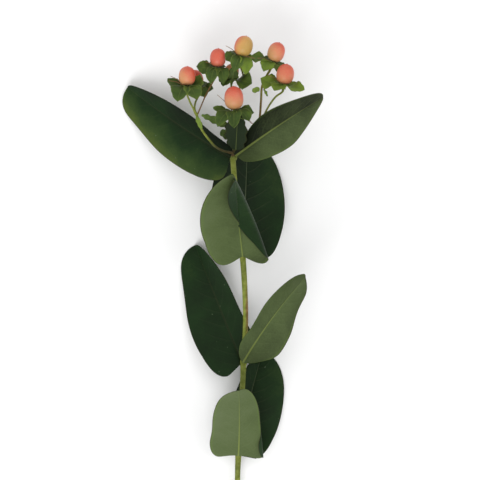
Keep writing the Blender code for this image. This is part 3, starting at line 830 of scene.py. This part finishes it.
# Five sepals a head: the tip measured from the cup, how far the face turns upwards, brightness.
SEPALS = {
    "1": ((-11.1, 5.2, -3.0, 0.5, 0.3), (-5.2, -9.2, 7.5, 0.4, 0.25), (5.4, -8.1, 7.5, 0.4, 0.4),
          (7.4, 7.0, -2.5, 0.5, 0.45), (-2.5, 3.5, -6.0, 0, 0.3)),
    "2": ((9.4, 0.2, 1.5, 0.7, 0.3), (4.8, -5.3, 6.5, 0.4, 0.35), (-3.4, -4.2, 6.0, 0.3, 0.3),
          (-5.4, 2.5, -6.0, 0, 0.3), (2.8, 5.6, -7.5, 0, 0.3)),
    "3": ((-12.2, 0.8, 1.5, 0.75, 0.35), (-3.8, -9.6, 7.0, 0.4, 0.3), (3.4, -9.6, 6.5, 0.4, 0.35),
          (3.2, 2.5, -6.5, 0, 0.2), (-3.3, 4.4, -7.5, 0, 0.2)),
    "4": ((-8.6, -1.8, 1.0, 0.75, 0.35), (-4.0, -9.2, 6.5, 0.7, 0.3), (2.3, -10.6, 5.5, 0.6, 0.75),
          (6.4, -2.3, -2.0, 0.6, 0.7), (-2.9, 4.5, -8.0, 0, 0.3)),
    "5": ((-13.2, 4.0, 0.0, 0.45, 0.5), (-5.4, -5.6, 5.5, 0.6, 0.65), (2.6, -6.2, 2.5, 0.6, 0.5),
          (6.6, 0.2, -5.5, 0.3, 0.3), (-2.8, 4.2, -7.0, 0, 0.3)),
    "6": ((-13.2, 4.2, -2.0, 0.6, 0.75), (-5.6, -3.6, 7.5, 0.5, 0.7), (11.9, -2.9, 5.0, 0.6, 0.8),
          (8.5, 1.2, -4.5, 0.6, 0.6), (-1.3, 3.5, -8.0, 0, 0.4)),
    "7": ((-12.4, 2.2, -2.0, 0.5, 0.4), (-9.6, -9.4, 7.0, 0.7, 0.3), (-0.2, -10.6, 9.0, 0, 0.2),
          (8.4, -6.4, 5.5, 0.7, 0.3), (11.3, -1.0, -3.5, 0.6, 0.3)),
    "8": ((-7.5, 1.0, -1.0, 0.6, 0.25), (-5.0, -4.2, 5.5, 0.5, 0.2), (1.2, 7.4, 6.6, 0.2, 0.25),
          (11.7, -2.6, 2.6, 0.8, 0.4), (-0.5, 3.2, -6.5, 0, 0.2)),
}


def sepal_section(radial, axis, tip, turned, s):
    """A sepal at s, 0 at the cup and 1 at its tip: middle, sideways and face direction."""
    start = radial * CUP_RADIUS
    reach = tip - start
    middle = start + radial * SEPAL_SPREAD * reach.length
    turn = 1.0 if axis.cross(reach).dot(reach.cross(Vector((0, 0, 1)))) > 0 else -1.0
    t = max(s, 0.0)
    centre = start.lerp(middle, t).lerp(middle.lerp(tip, t), t) + radial * min(s, 0.0) * 14
    ahead = (middle - start).lerp(tip - middle, t).normalized()
    sideways = axis.cross(ahead).normalized()
    level = ahead.cross(Vector((0, 0, turn))).normalized()
    side = sideways.lerp(level, turned * min(1.0, 1.6 * t)).normalized()
    return centre, side, ahead.cross(side)


def sepal_width(t, half):
    full = math.sin(math.pi * (0.16 + 0.84 * t ** 1.15)) ** 0.62
    return half * max(full - 0.10 * t ** 6, 0.02)


def sepal_grid(radial, axis, tip, turned, half, number):
    """Points of one sepal from the cup's middle out to its tip, with its values."""
    shares = np.linspace(-1, 1, SEPAL_COLUMNS)
    points = np.zeros((SEPAL_ROWS, SEPAL_COLUMNS, 3))
    off = np.zeros((SEPAL_ROWS, SEPAL_COLUMNS))
    for i, s in enumerate(np.linspace(SEPAL_START, 1, SEPAL_ROWS)):
        t = max(s, 0.0)
        centre, side, normal = sepal_section(radial, axis, tip, turned, s)
        width = sepal_width(t, half)
        for j, q in enumerate(shares):
            wave = MARGIN_WAVE * math.sin(13 * t + number) + MARGIN_NICKS * math.sin(31 * t)
            edge = 1 + wave * abs(q) ** 3
            ripple = FACE_RIPPLE * q * q * math.sin(8 * t + 1.9 * number + (1.2 if q > 0 else 0))
            dish = -0.10 * width * (1 - q * q) + 0.12 * width * abs(q)
            points[i, j] = centre + side * width * q * edge + normal * (dish + ripple * min(1, 3 * t))
            off[i, j] = width * q
    along = np.repeat(np.linspace(0, 1, SEPAL_ROWS)[:, None], SEPAL_COLUMNS, 1)
    across = np.repeat(shares[None], SEPAL_ROWS, 0)
    return points, along, across, off


def funnel_profile():
    """Height and radius of the stalk's flared end, from the stalk up into the cup."""
    rows = []
    for s in np.linspace(0, 1, FUNNEL_RINGS):
        rows.append((-FUNNEL * (1 - s) - 0.25, 0.5 + (CUP_RADIUS - 0.45) * s ** 2.2))
    rows.append((0.0, CUP_RADIUS - 0.3))
    rows.append((0.12, CUP_RADIUS - 0.9))
    return rows


def funnel_mesh(key, paints):
    cup, toward = cup_of(key)
    turn = toward.to_track_quat("Z", "Y")
    form = bmesh.new()
    rings = []
    for height, radius in funnel_profile():
        ring = []
        for k in range(FUNNEL_SIDES):
            angle = 2 * math.pi * k / FUNNEL_SIDES
            lobed = radius * (1 + 0.05 * math.cos(5 * angle))
            spot = cup + turn @ Vector((math.cos(angle) * lobed, math.sin(angle) * lobed, height))
            ring.append(form.verts.new((spot - CENTRE) * MM))
        rings.append(ring)
    for low, high in zip(rings, rings[1:]):
        for k in range(FUNNEL_SIDES):
            after = (k + 1) % FUNNEL_SIDES
            form.faces.new((low[k], low[after], high[after], high[k]))
    form.faces.new(rings[0][::-1])
    form.faces.new(rings[-1])
    mesh = bpy.data.meshes.new("funnel")
    form.to_mesh(mesh)
    form.free()
    for name, value in (("along", 0.3), ("across", 0.0), ("off", 5.0), ("tone_and_shading", 0.55)):
        put_values(mesh, name, np.full(len(mesh.vertices), value))
    return finished("funnel", mesh, paints)


def joined(name, pieces):
    """Several meshes as one, with their values kept."""
    with bpy.context.temp_override(active_object=pieces[0], selected_editable_objects=pieces,
                                   selected_objects=pieces, object=pieces[0]):
        bpy.ops.object.join()
    pieces[0].name = name
    pieces[0].data.name = name
    return pieces[0]


def sepals_around(key, first, second):
    """The cup's sepals in order of their angle, and the angle from each to the next."""
    sepals = []
    for x, y, z, turned, tone_and_shading in SEPALS[key]:
        tip = Vector((x, y, z))
        sepals.append((math.atan2(tip.dot(second), tip.dot(first)), tip, turned, tone_and_shading))
    sepals.sort(key=lambda sepal: sepal[0])
    count = len(sepals)
    gaps = [(sepals[(k + 1) % count][0] - sepals[k][0]) % (2 * math.pi) for k in range(count)]
    return sepals, gaps


def calyx_piece(key, paints):
    cup, toward = cup_of(key)
    first = toward.orthogonal().normalized()
    second = toward.cross(first)
    sepals, gaps = sepals_around(key, first, second)
    parts = [funnel_mesh(key, paints)]
    for k, (angle, tip, turned, tone_and_shading) in enumerate(sepals):
        radial = first * math.cos(angle) + second * math.sin(angle)
        gap = min(gaps[k - 1], gaps[k], WIDEST_GAP)
        room = math.tan(gap / 2) * (CUP_RADIUS + 0.4 * tip.length)
        half = min(SEPAL_SHARE * tip.length, room * 1.2)
        points, along, across, off = sepal_grid(radial, toward, tip, turned, half, k + int(key))
        points = points + np.array(cup) - np.array(toward) * (SEPAL_SINK - SEPAL_STAGGER * k)
        thin = SEPAL_HALF * (1 - 0.5 * np.abs(across) ** 4)
        rib = SEPAL_RIB * np.exp(-(off / 0.35) ** 2) * (1 - along)
        values = {"along": along, "across": across, "off": off,
                  "tone_and_shading": tone_and_shading + 0.15 * along + 0.12 * np.abs(across)}
        parts.append(closed_blade("sepal", points, thin, thin + rib, values, paints, 0))
    return joined("calyx_%s_sepals" % key, parts)


sepal_paints = [
    young_paint("sepal_upper", (0.014, 0.024, 0.008), (0.052, 0.088, 0.018), (0.14, 0.21, 0.026),
                (0.12, 0.16, 0.035), (0.15, 0.19, 0.04)),
    young_paint("sepal_under", (0.014, 0.026, 0.009), (0.064, 0.100, 0.024), (0.16, 0.23, 0.038),
                (0.13, 0.17, 0.045), (0.15, 0.19, 0.04)),
]
for key in CUPS:
    piece = calyx_piece(key, sepal_paints)
    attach(piece, "root")
    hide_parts("calyx_" + key)

# Berries
# Each berry is a fleshy egg-shaped capsule with a glossy skin, peach where it sat in shade and
# coral to orange-red towards its tip, finely speckled. Three dry styles shrink to a small beak on
# its tip, and its foot sits in the cup of the sepals.

# width, length, how red it is at its middle, how much redder towards its tip, to the right and
# towards the viewer, the last one painted light that mostly pales the face seen from above, and how
# golden it is
BERRIES = {
    "1": (9.7, 11.3, 0.55, 0.34, 0.34, -0.02, 0.2),
    "2": (9.7, 11.2, 0.95, 0.15, 0.15, 0.0, 0.3),
    "3": (9.3, 11.0, 0.70, 0.14, 0.05, 0.04, 0.0),
    "4": (10.6, 12.3, 0.34, 0.38, -0.62, -0.18, 1.0),
    "5": (9.9, 11.9, 0.42, 0.38, 0.26, -0.05, 0.15),
    "6": (10.2, 12.0, 0.62, 0.28, 0.08, 0.0, 0.25),
    "7": (11.0, 13.9, 0.48, 0.55, 0.12, -0.05, 0.1),
    "8": (8.2, 9.0, 0.60, 0.2, 0.3, 0.0, 1.0),
}
CLEAR = 0.3
BEAK = 0.25
BEAK_REACH = 0.075
FULL_LENGTHWISE = 2.35
FULL_SIDEWAYS = 2.1
TIP_NARROWING = 0.035
THREE_SIDES = 0.010
BERRY_SIDES = 56
BERRY_RINGS = 60


def berry_paint():
    paint, tree, shader = plain_paint("berry_skin", 0.4, 0.25)
    # Ripeness, with painted shade on the outline and painted light on the face towards the viewer.
    ripe_and_shading = sums(tree, "ADD", value_of(tree, "ripe_and_shading"), cloud(tree, 220.0, 0.36))
    ripe_and_shading = sums(tree, "ADD", ripe_and_shading, cloud(tree, 1900.0, 0.44, 2.0))
    coral = colours(tree, ripe_and_shading, (0.0, (0.50, 0.27, 0.115)), (0.35, (0.56, 0.215, 0.115)),
                    (0.65, (0.57, 0.135, 0.085)), (1.0, (0.54, 0.070, 0.035)))
    golden = colours(tree, ripe_and_shading, (0.0, (0.44, 0.27, 0.075)), (0.4, (0.55, 0.30, 0.095)),
                     (0.75, (0.56, 0.19, 0.085)), (1.0, (0.54, 0.085, 0.040)))
    skin = mixed(tree, value_of(tree, "gold"), coral, golden)
    foot = mixed(tree, value_of(tree, "foot"), skin, (0.30, 0.30, 0.07))
    dry = mixed(tree, value_of(tree, "beak"), foot, (0.09, 0.035, 0.015))
    tree.links.new(dry, shader.inputs["Base Color"])
    shader.inputs["Subsurface Weight"].default_value = 0.12
    shader.inputs["Subsurface Radius"].default_value = (1.0, 0.35, 0.2)
    shader.inputs["Subsurface Scale"].default_value = 0.0015
    shader.inputs["Coat Weight"].default_value = 0.12
    shader.inputs["Coat Roughness"].default_value = 0.25
    bumped(tree, shader, grain(tree, 1500.0, 2.0), 0.00006, 0.5)
    return paint


def skin_point(spot, width, length):
    """A point of a ball of radius 1 moved onto the berry, whose foot is at 0."""
    level = math.hypot(spot.x, spot.y)
    full = (1 - abs(spot.z) ** FULL_LENGTHWISE) ** (1 / FULL_SIDEWAYS) / max(level, 1e-6)
    around = math.atan2(spot.y, spot.x)
    belly = full * (1.0 - TIP_NARROWING * spot.z) * (1 + THREE_SIDES * math.cos(3 * around))
    tip = math.exp(-(level / BEAK_REACH) ** 4) if spot.z > 0 else 0.0
    return Vector((spot.x * belly * width / 2, spot.y * belly * width / 2,
                   (spot.z + 1.0) * length / 2 * 0.985 + BEAK * tip))


def skin_tints(spot, facing, red, to_tip, to_right, painted_front_light):
    """How ripe the skin is at a point of the ball, with painted shade on its outline and painted light on
    its face towards the viewer, how green at the foot and how dry at the tip.
    """
    # Painted light and shade: the outline seen from above is painted redder and darker, most on its upper
    # side, and the front term mostly pales the face towards the viewer.
    rim = 1 - max(facing.z, 0.0)
    ripe_and_shading = (red + to_tip * spot.z + to_right * facing.x + painted_front_light * facing.z
            + (0.14 + 0.34 * max(facing.y, 0.0)) * rim ** 2)
    foot = max(0.0, min(1.0, (-0.88 - spot.z) / 0.12)) * 0.8
    level = math.hypot(spot.x, spot.y)
    beak = max(0.0, min(1.0, (0.085 - level) / 0.03)) if spot.z > 0 else 0.0
    return ripe_and_shading, foot, beak


def berry_piece(key, paint):
    width, length, *redness, gold = BERRIES[key]
    cup, axis = cup_of(key)
    turn = axis.to_track_quat("Z", "Y")
    form = bmesh.new()
    bmesh.ops.create_uvsphere(form, u_segments=BERRY_SIDES, v_segments=BERRY_RINGS, radius=1.0)
    tints = []
    for vertex in form.verts:
        spot = Vector(vertex.co)
        tints.append((*skin_tints(spot, turn @ spot, *redness), gold))
        vertex.co = (cup + axis * CLEAR + turn @ skin_point(spot, width, length) - CENTRE) * MM
    mesh = bpy.data.meshes.new("berry_%s_skin" % key)
    form.to_mesh(mesh)
    form.free()
    for name, values in zip(("ripe_and_shading", "foot", "beak", "gold"), zip(*tints)):
        put_values(mesh, name, values)
    return finished("berry_%s_skin" % key, mesh, [paint])


skin = berry_paint()
for key in BERRIES:
    piece = berry_piece(key, skin)
    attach(piece, "root")
    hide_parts("berry_" + key)

# Stamen threads
# Dry brown threads of the old flower, as thin as a hair, still stand out under some berries.

THREAD_RADIUS = 0.22
THREAD_SIDES = 8
THREAD_STEPS = 6
THREAD_FOOT = 1.5
THREAD_ARCH = 0.8
THREAD_TIP = 0.6
# cup, and the thread's far end measured from it
THREADS = (
    ("4", (-8.9, 6.2, 2.0)), ("4", (8.0, -1.5, 3.5)), ("1", (-10.5, 3.0, 2.0)), ("1", (-9.5, 5.8, 1.0)),
    ("7", (-10.0, 9.0, 2.0)), ("7", (10.0, -8.0, 4.0)), ("7", (12.2, -9.5, 3.0)), ("3", (-7.0, 3.0, 3.0)),
    ("6", (-9.0, 5.5, 1.0)), ("5", (-9.0, 2.0, 4.0)),
)


def thread_paint():
    paint, tree, shader = plain_paint("dry_thread", 0.7, 0.2)
    tint = colours(tree, grain(tree, 900.0), (0.3, (0.10, 0.045, 0.018)), (0.7, (0.30, 0.16, 0.07)))
    tree.links.new(tint, shader.inputs["Base Color"])
    return paint


def thread_route(key, end):
    cup, toward = cup_of(key)
    tip = cup + Vector(end)
    out = Vector(end) - toward * Vector(end).dot(toward)
    start = cup + out.normalized() * THREAD_FOOT
    middle = start.lerp(tip, 0.5) + toward * THREAD_ARCH
    path = smooth_path([tuple(start), tuple(middle), tuple(tip)], THREAD_STEPS)
    return [(*point, thick) for point, thick in zip(path, np.linspace(1.0, THREAD_TIP, len(path)))]


routes = [thread_route(*thread) for thread in THREADS]
threads = swept("stamen_threads", routes, THREAD_RADIUS, THREAD_SIDES, thread_paint())
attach(threads, "root")

# Floor, light and camera
# The stem lies on a plain pale surface under a broad soft light, and is seen from straight above.

FLOOR_HALF = 3.0
FLOOR_COLOUR = (0.86, 0.86, 0.86, 1.0)
ROOM_COLOUR = (1.0, 1.0, 1.0, 1.0)
ROOM_LIGHT = 0.9
CAMERA_HEIGHT = 1.2
LENS = 150.0
# Each lamp: place and width in metres, and power in watts.
LAMPS = {
    "overhead": ((-0.4, -1.5, 1.7), 1.6, 28.0),
    "side fill": ((1.2, 0.6, 1.9), 1.5, 6.0),
}


def floor_paint():
    paint, _, shader = plain_paint("pale_floor", 0.9, 0.1)
    shader.inputs["Base Color"].default_value = FLOOR_COLOUR
    return paint


form = bmesh.new()
bmesh.ops.create_grid(form, x_segments=1, y_segments=1, size=FLOOR_HALF)
mesh = bpy.data.meshes.new("floor")
form.to_mesh(mesh)
form.free()
floor = finished("floor", mesh, [floor_paint()])

world = bpy.data.worlds.new("soft room")
world.use_nodes = True
room = world.node_tree.nodes["Background"]
room.inputs["Color"].default_value = ROOM_COLOUR
room.inputs["Strength"].default_value = ROOM_LIGHT
bpy.context.scene.world = world


def soft_light(name, place, size, power):
    lamp = bpy.data.lights.new(name, "AREA")
    lamp.shape = "DISK"
    lamp.size = size
    lamp.energy = power
    made = bpy.data.objects.new(name, lamp)
    bpy.context.scene.collection.objects.link(made)
    made.location = place
    made.rotation_euler = (Vector((0, 0, 0)) - Vector(place)).to_track_quat("-Z", "Y").to_euler()


for name, (place, size, power) in LAMPS.items():
    soft_light(name, place, size, power)

camera = bpy.data.cameras.new("camera")
camera.type = "PERSP"
camera.sensor_width = 36.0
camera.lens = LENS
camera.clip_end = 20.0
eye = bpy.data.objects.new("camera", camera)
bpy.context.scene.collection.objects.link(eye)
eye.location = (-CENTRE.x * MM, -CENTRE.y * MM, CAMERA_HEIGHT)
bpy.context.scene.camera = eye
bpy.context.scene.view_settings.view_transform = "Standard"
